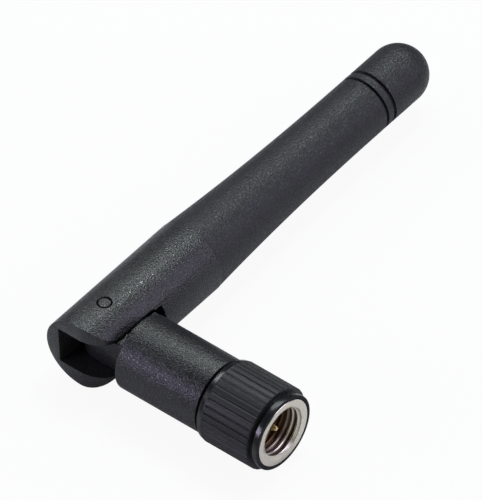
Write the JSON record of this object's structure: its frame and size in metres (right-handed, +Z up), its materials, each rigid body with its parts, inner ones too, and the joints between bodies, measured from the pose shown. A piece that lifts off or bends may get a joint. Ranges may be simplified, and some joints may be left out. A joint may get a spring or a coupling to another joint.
{
  "type": "swivel dipole antenna",
  "caption": "Black swivel dipole antenna: tapered whip on a fork hinge, folded to a right angle over a ribbed screw-on coaxial plug.",
  "frame": {"origin": "middle of the bounding box on the surface that the antenna lies on", "axes": "+X out of the plug's mouth, +Y from the hinge to the whip's tip as folded, +Z up along the hinge pin"},
  "size_m": [0.0298, 0.0588, 0.01],
  "materials": {
    "black_plastic": "black, fine moulded grain",
    "sleeve_plastic": "black, satin",
    "collar_plastic": "black, satin, slightly glossy on the bands",
    "nickel_plate": "bright nickel plate on brass",
    "gold_plate": "gold plate on brass",
    "bare_brass": "drawn, slightly dull",
    "copper_wire": "drawn copper",
    "spring_steel": "drawn spring wire",
    "solder": "cast, dull bright",
    "tinned_braid": "woven tinned wire",
    "fluoropolymer": "white, waxy",
    "natural_plastic": "uncoloured",
    "silicone": "red-brown, soft",
    "shrink_tube": "black, dull",
    "cable_jacket": "brown, smooth",
    "foam": "grey closed-cell foam"
  },
  "bodies": {
    "base": {"base_housing": "black_plastic", "connector_body": "gold_plate", "connector_dielectric": "fluoropolymer", "centre_pin": "gold_plate", "retaining_ring": "spring_steel", "sealing_gasket": "silicone", "crimp_ferrule": "nickel_plate", "coax_jacket": "cable_jacket", "coax_braid": "tinned_braid", "coax_dielectric": "fluoropolymer", "coax_conductor": "copper_wire"},
    "whip": {"whip_knuckle": "black_plastic", "whip_sleeve": "sleeve_plastic", "hinge_pin_upper": "black_plastic", "hinge_pin_lower": "black_plastic", "dipole_tube": "bare_brass", "radiating_coil": "copper_wire", "braid_solder": "solder", "feed_solder": "solder", "feed_insulator": "natural_plastic", "heat_shrink": "shrink_tube", "tip_pad": "foam"},
    "coupling": {"coupling_nut": "nickel_plate", "ribbed_collar": "collar_plastic"}
  },
  "joints": [
    {"name": "whip_tilt", "type": "hinge", "parent": "base", "child": "whip", "pos_m": [-0.01033, -0.02441, 0.005], "axis": [0, 0, 1], "range_deg": [0, 90], "deforming": ["coax_jacket", "coax_braid", "coax_dielectric", "coax_conductor"]},
    {"name": "coupling_spin", "type": "hinge", "parent": "base", "child": "coupling", "pos_m": [0.01, -0.02441, 0.005], "axis": [1, 0, 0], "continuous": true}
  ]
}
